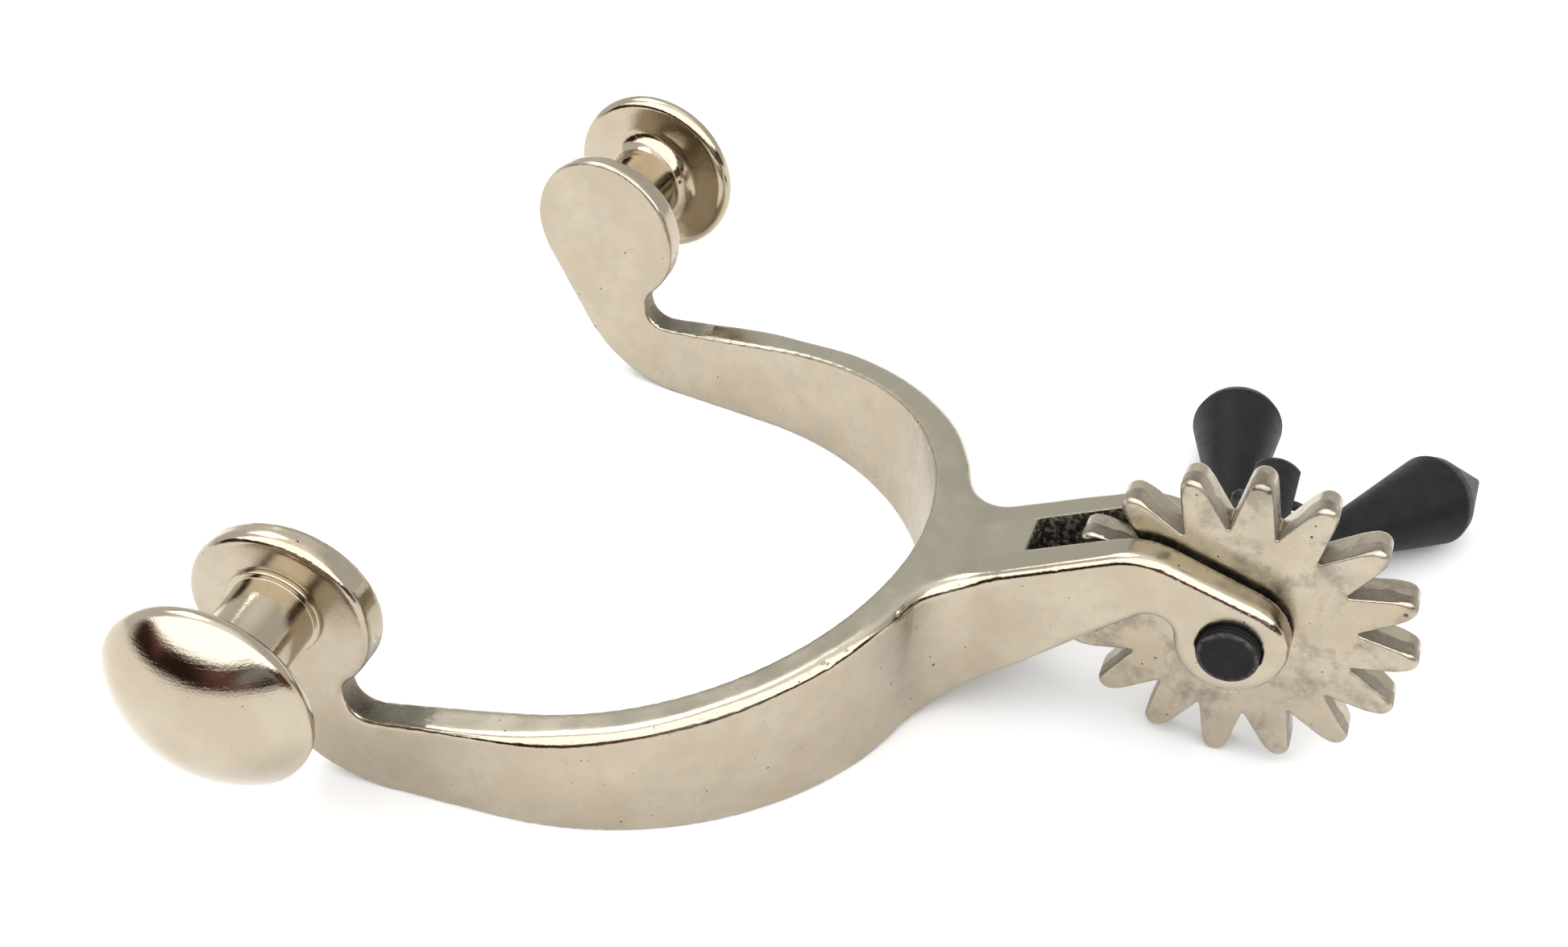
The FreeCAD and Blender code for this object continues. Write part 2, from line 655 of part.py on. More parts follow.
def bob_corners():
    """The corners of a bob's half section, from its ring of the hanger outwards."""
    shoulder = "sizes.bob_neck + sizes.bob_length"
    bottom = "sizes.bob_neck + sizes.eye_depth"
    tip = f"{shoulder} + sizes.bob_point"
    return [
        ("0", bottom),
        ("sizes.wire_radius", bottom),
        ("sizes.wire_radius", "sizes.bob_neck"),
        ("sizes.bob_neck_radius - sizes.bob_edge", "sizes.bob_neck"),
        ("sizes.bob_neck_radius", "sizes.bob_neck + sizes.bob_edge"),
        ("sizes.bob_radius", f"{shoulder} - sizes.bob_shoulder"),
        *[(f"sizes.bob_radius - {inset} * sizes.bob_shoulder",
           f"{shoulder} + ({past}) * sizes.bob_shoulder") for inset, past in SHOULDER_CORNERS],
        ("sizes.bob_tip_radius", tip),
        ("0", tip),
    ]


def bob_droop(start_height, slack):
    """How far a bob's axis slopes down, so that it rests on the surface."""
    slopes = []
    for radius, height in bob_corners():
        across_axis, along_axis = value(radius), value(height) + slack
        distance = math.hypot(along_axis, across_axis)
        if distance > start_height:
            touch = math.asin(start_height / distance)
            slopes.append(math.degrees(touch - math.atan2(across_axis, along_axis)))
    return min(slopes)


def bob_place(side, sign, turn):
    """A bob lies on the surface, its eye pulled out or pushed in within its hanger ring."""
    slack = size(f"{side}_slack")
    reach = Vector(sign * size("leg_reach"), size("hanger_drop"), 0)
    ring_centre = hanger_place().multVec(reach)
    droop = bob_droop(ring_centre.z, slack)
    lie = Rotation(UPWARD, -size(turn)) * Rotation(LENGTHWISE, -droop)
    return Placement(ring_centre + lie.multVec(SIDEWAYS) * slack, lie)


def jingle_bob(side, sign, turn):
    """A solid pear: a long cone that widens to a rounded shoulder and ends in a blunt point."""
    body = doc.addObject("PartDesign::Body", f"bob_{side}")
    turned(body, f"bob_outline_{side}", f"bob_turned_{side}", bob_corners())
    body.Placement = bob_place(side, sign, turn)
    return body


def bob_eye(side, sign, turn):
    """The wire eye set in a bob's narrow end, linked through a ring of the hanger."""
    loop = ring(f"eye_ring_{side}", "sizes.eye_ring_radius", "sizes.wire_radius")
    place(loop, "0", "sizes.eye_ring_radius")
    stem = rod(f"eye_stem_{side}", "sizes.wire_radius",
               "sizes.bob_neck + sizes.eye_depth - 2 * sizes.eye_ring_radius")
    place(stem, "0", "sizes.bob_neck + sizes.eye_depth", axis=LENGTHWISE, angle=90)
    eye = fuse(f"bob_eye_{side}", [loop, stem])
    eye.Placement = bob_place(side, sign, turn)
    return eye


# ---------------------------------------------------------------- the parts

parts = [
    heel_band(),
    strap_button("left", 1),
    strap_button("right", -1),
    rowel(),
    rowel_pin(),
    hanger_link(),
]
for side, sign, turn in BOBS:
    parts.append(jingle_bob(side, sign, turn))
    parts.append(bob_eye(side, sign, turn))
doc.recompute()

for item in doc.Objects:
    if "Invalid" in item.State or "Error" in item.State:
        raise RuntimeError(f"{item.Name} failed: {item.State}")
for part in parts:
    part.Label = part.Name
    shape = part.Shape
    if shape.isNull() or not shape.isValid() or len(shape.Solids) != 1:
        raise RuntimeError(f"{part.Label} isn't one valid solid")

os.makedirs("parts", exist_ok=True)
for part in parts:
    part.Shape.exportStep(f"parts/{part.Label}.step")
    box = part.Shape.BoundBox
    print(f"{part.Label}: {part.Shape.Volume:.1f} mm3, "
          f"x {box.XMin:.2f} to {box.XMax:.2f}, y {box.YMin:.2f} to {box.YMax:.2f}, "
          f"z {box.ZMin:.2f} to {box.ZMax:.2f}")
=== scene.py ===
import json
import math

import bmesh
import bpy
from mathutils import Matrix, Vector
from mathutils.bvhtree import BVHTree
from mathutils.noise import noise as noise_field


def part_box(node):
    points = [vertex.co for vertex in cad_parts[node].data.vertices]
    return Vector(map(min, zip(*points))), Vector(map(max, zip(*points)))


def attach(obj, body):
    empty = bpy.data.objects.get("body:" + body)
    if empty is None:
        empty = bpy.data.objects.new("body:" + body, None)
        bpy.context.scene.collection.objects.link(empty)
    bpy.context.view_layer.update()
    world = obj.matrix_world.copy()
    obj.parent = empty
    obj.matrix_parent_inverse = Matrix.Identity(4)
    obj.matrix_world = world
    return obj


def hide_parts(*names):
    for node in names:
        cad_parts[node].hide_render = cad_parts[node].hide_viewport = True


# The looks of a western spur. The casting and the rowel are rounded copies of their CAD nodes;
# the buttons, the pin and the jingle bobs are turned afresh, and the wires are bent afresh.
# Nickel plate covers the casting, rowel and buttons; black oxide covers the rest.

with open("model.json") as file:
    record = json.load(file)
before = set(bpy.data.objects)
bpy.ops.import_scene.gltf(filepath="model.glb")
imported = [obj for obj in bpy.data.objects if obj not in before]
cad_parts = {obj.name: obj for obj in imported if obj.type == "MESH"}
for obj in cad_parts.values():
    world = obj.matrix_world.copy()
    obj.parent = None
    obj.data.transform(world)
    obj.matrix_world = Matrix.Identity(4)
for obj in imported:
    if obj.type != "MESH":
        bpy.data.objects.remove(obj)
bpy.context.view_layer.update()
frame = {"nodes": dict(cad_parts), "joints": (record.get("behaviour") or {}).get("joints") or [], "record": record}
record = frame["record"]

MM = 0.001
MICRON = MM / 1000
TURN = 2 * math.pi
SIDES = ("left", "right")

JOINTS = {joint["name"]: joint for joint in frame["joints"]}
MOUNTS = {mount["name"]: mount for mount in record["mounts"]}
ROWEL_CENTRE = Vector(JOINTS["rowel_spin"]["pos_m"])
HEEL_RADIUS = MOUNTS["heel_cradle"]["dims"]["r_mm"] * MM
BAND_THICKNESS = 3.7 * MM


# ---------------------------------------------------------------- node helpers

def add_node(tree, kind, **settings):
    """A shader node; each setting is one of its properties or the value of one of its inputs."""
    node = tree.nodes.new(kind)
    for name, value in settings.items():
        if hasattr(node, name):
            setattr(node, name, value)
        else:
            node.inputs[name.replace("_", " ")].default_value = value
    return node


def new_material(name):
    material = bpy.data.materials.new(name)
    material.use_nodes = True
    tree = material.node_tree
    return material, tree, tree.nodes["Principled BSDF"]


def object_position(tree, scale=(1, 1, 1)):
    """The point on the surface in the object's own frame, in millimetres."""
    place = add_node(tree, "ShaderNodeTexCoord")
    mapping = add_node(tree, "ShaderNodeMapping")
    mapping.inputs["Scale"].default_value = [axis / MM for axis in scale]
    tree.links.new(place.outputs["Object"], mapping.inputs["Vector"])
    return mapping.outputs["Vector"]


def noise(tree, where, scale, detail, roughness=0.55):
    node = add_node(tree, "ShaderNodeTexNoise", Scale=scale, Detail=detail, Roughness=roughness)
    tree.links.new(where, node.inputs["Vector"])
    return node.outputs["Fac"]


def ramp(tree, amount, low, high, start=0.0, end=1.0):
    """Maps an amount between low and high onto start to end, and holds it there outside."""
    node = add_node(tree, "ShaderNodeMapRange", clamp=True)
    for name, value in (("From Min", low), ("From Max", high), ("To Min", start), ("To Max", end)):
        node.inputs[name].default_value = value
    tree.links.new(amount, node.inputs["Value"])
    return node.outputs["Result"]


def combine(tree, operation, first, second):
    node = add_node(tree, "ShaderNodeMath", operation=operation)
    for socket, item in zip(node.inputs, (first, second)):
        if isinstance(item, (int, float)):
            socket.default_value = item
        else:
            tree.links.new(item, socket)
    return node.outputs["Value"]


def mix_colour(tree, amount, first, second):
    node = add_node(tree, "ShaderNodeMix", data_type="RGBA")
    tree.links.new(amount, node.inputs["Factor"])
    for socket, item in ((node.inputs["A"], first), (node.inputs["B"], second)):
        colour_socket = next(s for s in node.inputs if s.name == socket.name and s.type == "RGBA")
        if isinstance(item, tuple):
            colour_socket.default_value = (*item, 1)
        else:
            tree.links.new(item, colour_socket)
    return next(s for s in node.outputs if s.type == "RGBA")


def bump(tree, height, distance, strength, under=None):
    node = add_node(tree, "ShaderNodeBump", Strength=strength, Distance=distance)
    tree.links.new(height, node.inputs["Height"])
    if under is not None:
        tree.links.new(under, node.inputs["Normal"])
    return node.outputs["Normal"]


def attribute(tree, name):
    return add_node(tree, "ShaderNodeAttribute", attribute_name=name).outputs["Fac"]


# ---------------------------------------------------------------- materials

NICKEL = (0.440, 0.383, 0.298)
NICKEL_WARM = (0.405, 0.342, 0.252)
NICKEL_GREY = (0.355, 0.327, 0.272)
# The top faces' darker ashy colour: partly a dull finish, partly painted shade on faces that look up.
ASHY_NICKEL_AND_SHADE = (0.380, 0.346, 0.272)
TARNISH = (0.11, 0.088, 0.066)
STAIN = (0.215, 0.185, 0.145)
RAW_CASTING = (0.020, 0.017, 0.013)
RAW_CRUST = (0.28, 0.245, 0.195)

# How deep the plate's relief is, from its broad polished waves to the raw casting's rubble. The
# dull top faces have a small share of the rubble.
WAVE_DEPTH = 0.12 * MM
STROKE_DEPTH = 0.03 * MM
GRAIN_DEPTH = 0.03 * MM
PIT_DEPTH = 0.06 * MM
RUBBLE_DEPTH = 0.6 * MM
ASHY_RUBBLE = 0.007


def nickel_plate(name, polish, haze_span, mottle, pits, stains=0.0):
    """Plated casting: mottled warm and grey, waved by polishing, with pits and dark flecks.

    The mesh attribute raw is 1 where the casting was never polished: dark, rough and pitted.
    Ashy is 1 on the top faces, whose darker ashy colour with speckle is partly a dull grainy finish
    and partly painted shade on faces that look up. Ground is 1 on the bright hand-ground edges.
    """
    material, tree, shader = new_material(name)
    where = object_position(tree)
    raw = attribute(tree, "raw")
    ashy_and_shade = attribute(tree, "ashy_and_shade")
    ground = attribute(tree, "ground")

    cloud = ramp(tree, noise(tree, where, 0.16, 3.0), 0.40, 0.62)
    patch = ramp(tree, noise(tree, where, 0.55, 6.0, 0.62), 0.46, 0.66, 0.0, mottle)
    clean = mix_colour(tree, cloud, NICKEL, NICKEL_WARM)
    clean = mix_colour(tree, patch, clean, NICKEL_GREY)

    stain = ramp(tree, noise(tree, where, 0.28, 7.0, 0.68), 0.50, 0.64, 0.0, stains)
    clean = mix_colour(tree, stain, clean, STAIN)
    # Top faces that look up get a darker speckled colour: a dull grainy finish, and partly painted shade.
    speckle = ramp(tree, noise(tree, where, 1.1, 7.0, 0.72), 0.34, 0.62, 0.80, 1.0)
    clean = mix_colour(tree, combine(tree, "MULTIPLY", ashy_and_shade, speckle), clean, ASHY_NICKEL_AND_SHADE)

    fleck = ramp(tree, noise(tree, where, 1.7, 5.0, 0.7), 0.685, 0.72)
    pit_field = add_node(tree, "ShaderNodeTexVoronoi", Scale=0.85, Randomness=1.0)
    tree.links.new(where, pit_field.inputs["Vector"])
    pit_size = ramp(tree, noise(tree, where, 0.35, 2.0), 0.45, 0.75, 0.0, pits)
    pit = ramp(tree, combine(tree, "SUBTRACT", pit_size, pit_field.outputs["Distance"]), 0.0, 0.05)
    blemish = combine(tree, "MAXIMUM", combine(tree, "MULTIPLY", fleck, 0.75), pit)
    colour = mix_colour(tree, blemish, clean, TARNISH)

    grit = noise(tree, where, 1.9, 8.0, 0.80)
    crust = mix_colour(tree, ramp(tree, grit, 0.48, 0.60), RAW_CASTING, RAW_CRUST)
    uneven = combine(tree, "MULTIPLY", combine(tree, "SUBTRACT", grit, 0.5), 0.9)
    raw = ramp(tree, combine(tree, "ADD", raw, uneven), 0.30, 0.78)
    colour = mix_colour(tree, raw, colour, crust)
    tree.links.new(colour, shader.inputs["Base Color"])
    shader.inputs["Metallic"].default_value = 1.0

    haze = ramp(tree, noise(tree, where, 0.3, 5.0, 0.6), 0.35, 0.70, polish, polish + haze_span)
    haze = combine(tree, "MULTIPLY", haze, ramp(tree, ground, 0.0, 1.0, 1.0, 0.25))
    rough = combine(tree, "ADD", haze, combine(tree, "MULTIPLY", blemish, 0.3))
    rough = combine(tree, "ADD", rough, combine(tree, "MULTIPLY", raw, 0.42))
    tree.links.new(rough, shader.inputs["Roughness"])

    waves = bump(tree, noise(tree, where, 0.33, 2.0, 0.4), WAVE_DEPTH, 0.20)
    strokes = noise(tree, object_position(tree, (0.2, 0.2, 5.0)), 1.0, 4.0, 0.6)
    waves = bump(tree, strokes, STROKE_DEPTH, 0.22, waves)
    grain = bump(tree, noise(tree, where, 5.0, 6.0, 0.6), GRAIN_DEPTH, 0.30, waves)
    holes = bump(tree, combine(tree, "SUBTRACT", 1.0, blemish), PIT_DEPTH, 0.6, grain)
    rubble_share = combine(tree, "ADD", raw, combine(tree, "MULTIPLY", ashy_and_shade, ASHY_RUBBLE))
    rubble = bump(tree, combine(tree, "MULTIPLY", grit, rubble_share), RUBBLE_DEPTH, 1.0, holes)
    tree.links.new(rubble, shader.inputs["Normal"])
    return material


OXIDE = (0.0055, 0.0056, 0.0060)
OXIDE_THIN = (0.009, 0.009, 0.0095)
OXIDE_DUSTY = (0.030, 0.030, 0.032)
BARE_STEEL = (0.10, 0.095, 0.088)
OXIDE_SPECULAR = 0.13
OXIDE_DEPTH = 0.07 * MM


def black_oxide(name, roughness):
    """Black oxide on turned steel: satin, with a faint grainy film, dusty, rubbed on edges."""
    material, tree, shader = new_material(name)
    where = object_position(tree)
    cloud = ramp(tree, noise(tree, where, 0.5, 5.0, 0.6), 0.38, 0.68)
    dust = ramp(tree, noise(tree, where, 4.5, 6.0, 0.7), 0.60, 0.74, 0.0, 0.55)
    rub = attribute(tree, "rubbed")
    worn = combine(tree, "MULTIPLY", rub, ramp(tree, noise(tree, where, 1.6, 4.0), 0.35, 0.62))
    colour = mix_colour(tree, cloud, OXIDE, OXIDE_THIN)
    colour = mix_colour(tree, dust, colour, OXIDE_DUSTY)
    colour = mix_colour(tree, worn, colour, BARE_STEEL)
    tree.links.new(colour, shader.inputs["Base Color"])
    shader.inputs["Specular IOR Level"].default_value = OXIDE_SPECULAR
    rough = ramp(tree, noise(tree, where, 0.9, 4.0), 0.3, 0.7, roughness, roughness + 0.12)
    tree.links.new(rough, shader.inputs["Roughness"])
    film = bump(tree, noise(tree, where, 2.2, 7.0, 0.65), OXIDE_DEPTH, 0.55)
    tree.links.new(film, shader.inputs["Normal"])
    return material


CAST_NICKEL = nickel_plate("cast_nickel", polish=0.19, haze_span=0.12, mottle=0.55, pits=0.17)
ROWEL_NICKEL = nickel_plate("rowel_nickel", polish=0.18, haze_span=0.18, mottle=0.85, pits=0.21,
                            stains=0.75)
BUTTON_NICKEL = nickel_plate("button_nickel", polish=0.035, haze_span=0.055, mottle=0.25, pits=0.07)
BLACK_OXIDE = black_oxide("black_oxide", roughness=0.42)
BLACK_WIRE = black_oxide("black_wire", roughness=0.36)


# ---------------------------------------------------------------- mesh helpers

def link(obj):
    bpy.context.scene.collection.objects.link(obj)
    return obj


def mark(obj, name, weight):
    """Stores a number on each vertex, from its place and normal, for a material to read."""
    layer = obj.data.attributes.new(name, "FLOAT", "POINT")
    for vertex, item in zip(obj.data.vertices, layer.data):
        item.value = weight(vertex.co, vertex.normal)


def step(value, low, high):
    """0 below low, 1 above high, and smooth between."""
    part = min(1.0, max(0.0, (value - low) / (high - low)))
    return part * part * (3 - 2 * part)


def apply_modifiers(obj):
    """Replaces an object's mesh by what its modifiers make of it."""
    graph = bpy.context.evaluated_depsgraph_get()
    graph.update()
    mesh = bpy.data.meshes.new_from_object(obj.evaluated_get(graph))
    obj.modifiers.clear()
    obj.vertex_groups.clear()
    obj.data = mesh


EDGE_PASSES = 2
BALL_MOVES = 10
BALL_MISS = MICRON / 2
SETTLE_ROUNDS = 6
ASTRAY = 0.1 * MM


def round_edges(obj, node, radius_at):
    """Rounds a dense mesh as if a ball rolled inside it, so that flat faces stay as the CAD has them.

    Each vertex gets a ball centre, moved until it lies one radius inside the CAD node's surface.
    The vertex then goes to the ball's skin. A second pass starts from the better normals, and
    each pass ends by settling the few vertices that went astray.
    """
    surface = BVHTree.FromPolygons([vertex.co for vertex in frame["nodes"][node].data.vertices],
                                   [face.vertices for face in frame["nodes"][node].data.polygons])
    for _ in range(EDGE_PASSES):
        normals = [vertex.normal.copy() for vertex in obj.data.vertices]
        before = [vertex.co.copy() for vertex in obj.data.vertices]
        for vertex, normal in zip(obj.data.vertices, normals):
            radius = radius_at(vertex.co)
            centre = vertex.co - normal * radius
            for _ in range(BALL_MOVES):
                nearest, _, _, depth = surface.find_nearest(centre)
                if abs(depth - radius) < BALL_MISS:
                    break
                centre = nearest + (centre - nearest) * (radius / depth)
            vertex.co = centre + (vertex.co - centre).normalized() * radius
        settle(obj, before)
        obj.data.update()


def settle(obj, before):
    """Where a vertex moved unlike its neighbours, gives it their mean move instead."""
    beside = [[] for _ in before]
    for edge in obj.data.edges:
        first, second = edge.vertices
        beside[first].append(second)
        beside[second].append(first)
    moves = [vertex.co - start for vertex, start in zip(obj.data.vertices, before)]
    for _ in range(SETTLE_ROUNDS):
        means = [sum((moves[other] for other in others), Vector()) / len(others) for others in beside]
        moves = [mean if (move - mean).length > ASTRAY else move for move, mean in zip(moves, means)]
    for vertex, start, move in zip(obj.data.vertices, before, moves):
        vertex.co = start + move


def cast_copy(node, name, voxel):
    """A dense even mesh of a CAD node, ready for its edges to be rounded."""
    obj = link(bpy.data.objects.new(name, frame["nodes"][node].data.copy()))
    obj.data.materials.clear()
    welded = bmesh.new()
    welded.from_mesh(obj.data)
    bmesh.ops.remove_doubles(welded, verts=welded.verts, dist=MICRON)
    welded.to_mesh(obj.data)
    welded.free()
    remesh = obj.modifiers.new("remesh", "REMESH")
    remesh.mode = "VOXEL"
    remesh.voxel_size = voxel
    apply_modifiers(obj)
    return obj


LARGEST_SHARE = 0.49


def rounded(corners, radii, steps):
    """An outline whose inner corners are replaced by arcs; a radius of 0 keeps a corner.

    An arc that would take more than the largest share of a run beside it is made smaller.
    """
    points = [Vector(corners[0])]
    for before, corner, after, radius in zip(corners, corners[1:], corners[2:], radii):
        before, corner, after = Vector(before), Vector(corner), Vector(after)
        back, ahead = (before - corner).normalized(), (after - corner).normalized()
        half = back.angle(ahead) / 2
        reach = radius / math.tan(half) if radius else 0
        limit = LARGEST_SHARE * min((before - corner).length, (after - corner).length)
        if reach > limit:
            reach, radius = limit, limit * math.tan(half)
        if not radius:
            points.append(corner)
            continue
        centre = corner + (back + ahead).normalized() * radius / math.sin(half)
        first, last = corner + back * reach - centre, corner + ahead * reach - centre
        sweep = first.angle(last)
        for count in range(steps + 1):
            share = count / steps
            blend = first * math.sin((1 - share) * sweep) + last * math.sin(share * sweep)
            points.append(centre + blend / math.sin(sweep))
    points.append(Vector(corners[-1]))
    return points


def axis_frame(origin, direction):
    """A frame at a point whose Z axis is the given direction."""
    turn = Vector(direction).to_track_quat("Z", "Y").to_matrix().to_4x4()
    return Matrix.Translation(origin) @ turn


def skin(name, rings):
    """A closed surface over rings of points, capped by a point at each end."""
    mesh = bmesh.new()
    rows = [[mesh.verts.new(point) for point in ring] for ring in rings]
    for lower, upper in zip(rows, rows[1:]):
        count = max(len(lower), len(upper))
        for index in range(count):
            after = (index + 1) % count
            corners = [lower[index % len(lower)], lower[after % len(lower)],
                       upper[after % len(upper)], upper[index % len(upper)]]
            mesh.faces.new(list(dict.fromkeys(corners)))
    bmesh.ops.recalc_face_normals(mesh, faces=mesh.faces)
    data = bpy.data.meshes.new(name)
    mesh.to_mesh(data)
    mesh.free()
    return link(bpy.data.objects.new(name, data))


def turned(name, outline, place, segments):
    """A solid of revolution; the outline's points are a radius and a height along the axis."""
    rings = []
    for radius, height in outline:
        if radius < MICRON:
            rings.append([place @ Vector((0, 0, height))])
            continue
        angles = [TURN * index / segments for index in range(segments)]
        rings.append([place @ Vector((radius * math.cos(angle), radius * math.sin(angle), height))
                      for angle in angles])
    return skin(name, rings)


def finish_piece(obj, body, nodes, material, crease):
    """Smooths and paints a piece, sets it on the body it rides on, and hides the CAD nodes it stands for; 0 means
    no crease.
    """
    obj.data.materials.append(material)
    for face in obj.data.polygons:
        face.use_smooth = True
    if crease:
        obj.data.set_sharp_from_angle(angle=math.radians(crease))
    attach(obj, body)
    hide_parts(*nodes)


# ---------------------------------------------------------------- camera, light and floor

CAMERA_PLACE = Vector((63.75, -137.49, 134.49)) * MM
CAMERA_AZIMUTH = 18.92
CAMERA_ELEVATION = 38.5
CAMERA_ROLL = 2.12
CAMERA_LENS = 44.64


def camera():
    data = bpy.data.cameras.new("camera")
    data.lens = CAMERA_LENS
    data.clip_start = 0.01
    obj = link(bpy.data.objects.new("camera", data))
    aim = (Matrix.Rotation(math.radians(CAMERA_AZIMUTH), 4, "Z")
           @ Matrix.Rotation(math.radians(90 - CAMERA_ELEVATION), 4, "X")
           @ Matrix.Rotation(math.radians(CAMERA_ROLL), 4, "Z"))
    obj.matrix_world = Matrix.Translation(CAMERA_PLACE) @ aim
    bpy.context.scene.camera = obj


def plain_material(name, colour, roughness):
    material, _, shader = new_material(name)
    shader.inputs["Base Color"].default_value = (*colour, 1)
    shader.inputs["Roughness"].default_value = roughness
    return material


def panel(name, centre, target, width, depth):
    """A flat rectangle that faces a target."""
    corners = [(x * width / 2, y * depth / 2, 0) for x, y in ((-1, -1), (1, -1), (1, 1), (-1, 1))]
    mesh = bpy.data.meshes.new(name)
    mesh.from_pydata(corners, [], [(0, 1, 2, 3)])
    obj = link(bpy.data.objects.new(name, mesh))
    obj.matrix_world = axis_frame(centre, Vector(target) - Vector(centre))
    return obj


def soft_light(name, place, size, power):
    """A rectangular lamp that shines at the origin."""
    data = bpy.data.lights.new(name, "AREA")
    data.shape = "RECTANGLE"
    data.size, data.size_y = size
    data.energy = power
    obj = link(bpy.data.objects.new(name, data))
    obj.matrix_world = axis_frame(place, Vector(place))


CEILING = (1.75, 1.75, 1.73)
WINDOW = (3.0, 3.05, 3.15)
WALL_LEFT = (1.0, 1.0, 0.98)
WALL_BACK = (0.86, 0.87, 0.86)
FURNITURE = ((0.040, 0.022, 0.016), (0.22, 0.105, 0.085))
CABINET = (0.42, 0.43, 0.45)

# Where the parts of the room lie. A side is a direction, and each pair is where one part fades into
# the next: how far toward a side, how far along X, how high, or how strong the clutter is.
VIEWER = (0.26, -0.966, 0)
VIEWER_FADE = (0.10, 0.20)
CABINET_SIDE = (0.62, -0.785, 0)
CABINET_FADE = (0.93, 0.95)
CABINET_FOOT = (0.24, 0.26)
FURNITURE_TOP = (0.46, 0.485)
WINDOW_FOOT = (0.36, 0.40)
WALL_FADE = (-0.95, -0.45)
CEILING_FADE = (0.66, 0.96)
CLUTTER_FADE = (0.47, 0.58)
CLUTTER_HEIGHT = 0.20

FLOOR_WIDTH = 40
FLOOR_PAPER = (0.80, 0.792, 0.778)
FLOOR_ROUGHNESS = 0.65
LAMP_PLACE = (-0.48, 0.26, 0.86)
LAMP_SIZE = (0.5, 0.5)
LAMP_POWER = 4.2


def toward(tree, place, direction, low, high):
    """1 for the part of the room that lies in a direction, fading from high down to low."""
    aim = add_node(tree, "ShaderNodeVectorMath", operation="DOT_PRODUCT")
    tree.links.new(place, aim.inputs[0])
    aim.inputs[1].default_value = direction
    return ramp(tree, aim.outputs["Value"], low, high)


def room(tree):
    """What the metal reflects: bright overhead, grey all round, and by the viewer a bright
    window over a dark row of furniture, with a pale cabinet at its right."""
    shader = tree.nodes["Background"]
    place = add_node(tree, "ShaderNodeTexCoord").outputs["Generated"]
    axes = add_node(tree, "ShaderNodeSeparateXYZ")
    tree.links.new(place, axes.inputs["Vector"])
    up = axes.outputs["Z"]
    clutter = noise(tree, place, 2.6, 3.0, 0.5)
    height = combine(tree, "ADD", up, combine(tree, "MULTIPLY", clutter, CLUTTER_HEIGHT))
    by_viewer = toward(tree, place, VIEWER, *VIEWER_FADE)
    dark = combine(tree, "MULTIPLY", by_viewer, ramp(tree, height, *FURNITURE_TOP, 1, 0))
    wall = mix_colour(tree, ramp(tree, axes.outputs["X"], *WALL_FADE), WALL_LEFT, WALL_BACK)
    sky = mix_colour(tree, ramp(tree, up, *CEILING_FADE), wall, CEILING)
    over_viewer = combine(tree, "MULTIPLY", by_viewer, ramp(tree, up, *WINDOW_FOOT))
    sky = mix_colour(tree, over_viewer, sky, WINDOW)
    shade = mix_colour(tree, ramp(tree, clutter, *CLUTTER_FADE), *FURNITURE)
    cabinet = combine(tree, "MULTIPLY", toward(tree, place, CABINET_SIDE, *CABINET_FADE),
                      ramp(tree, height, *CABINET_FOOT))
    shade = mix_colour(tree, cabinet, shade, CABINET)
    tree.links.new(mix_colour(tree, dark, sky, shade), shader.inputs["Color"])
    shader.inputs["Strength"].default_value = 1.0


def studio():
    """A wide pale floor, the room that the metal reflects, and one soft lamp beyond the spur."""
    floor = panel("floor", (0, 0, 0), (0, 0, 1), FLOOR_WIDTH, FLOOR_WIDTH)
    floor.data.materials.append(plain_material("floor_paper", FLOOR_PAPER, FLOOR_ROUGHNESS))
    world = bpy.data.worlds.new("studio")
    world.use_nodes = True
    room(world.node_tree)
    bpy.context.scene.world = world
    soft_light("lamp", LAMP_PLACE, LAMP_SIZE, LAMP_POWER)
    bpy.context.scene.view_settings.view_transform = "Standard"


camera()
studio()


# ---------------------------------------------------------------- casting and rowel

CASTING_VOXEL = 0.3 * MM
ROWEL_VOXEL = 0.17 * MM
SMALL_EDGE = 0.32 * MM
CRISP_EDGE = 0.1 * MM
GROUND_ARM = 0.5 * MM
GROUND_BRANCH = 1.4 * MM
GROUND_SHANK = 1.1 * MM
GROUND_EAR = 1.0 * MM
ROWEL_EDGE = 0.26 * MM
ROWEL_TIP_EDGE = 0.75 * MM
ROWEL_RADIUS = 16 * MM
PIN_RADIUS = 2.8 * MM
SLOT_HALF_WIDTH = 2.25 * MM
SLOT_START = 41.2 * MM
CLEAR_OF_SLOT = 2 * MM
CHEEK_THICKNESS = 2.6 * MM
NOTCH = Vector((-9.5, 0, 10.9)) * MM
SEAT = Vector(MOUNTS["strap_button_left"]["pos_m"])
TENON_RADIUS = 2.5 * MM
INNER_TOE_OUT = math.radians(7.0)
OUTER_TOE_OUT = math.radians(3.3)
BALL_GROWTH = 0.8
BALL_SHARE = 0.42
WANDER = 0.2
WANDER_LENGTH = 7 * MM
NOTCH_RAWNESS = 0.54
FLANK_RAWNESS = 0.45


def wall(point):
    """The distances of the band's inner and outer faces from its middle, at a point."""
    if point.x > 0:
        return HEEL_RADIUS, HEEL_RADIUS + BAND_THICKNESS
    inner = (HEEL_RADIUS - point.x * math.sin(INNER_TOE_OUT)) / math.cos(INNER_TOE_OUT)
    outer = HEEL_RADIUS + BAND_THICKNESS - point.x * math.sin(OUTER_TOE_OUT)
    return inner, outer / math.cos(OUTER_TOE_OUT)


def outwardness(point):
    """0 on the band's inner face and 1 on its outer face."""
    inner, outer = wall(point)
    reach = math.hypot(point.x, point.y) if point.x > 0 else abs(point.y)
    return (reach - inner) / (outer - inner)


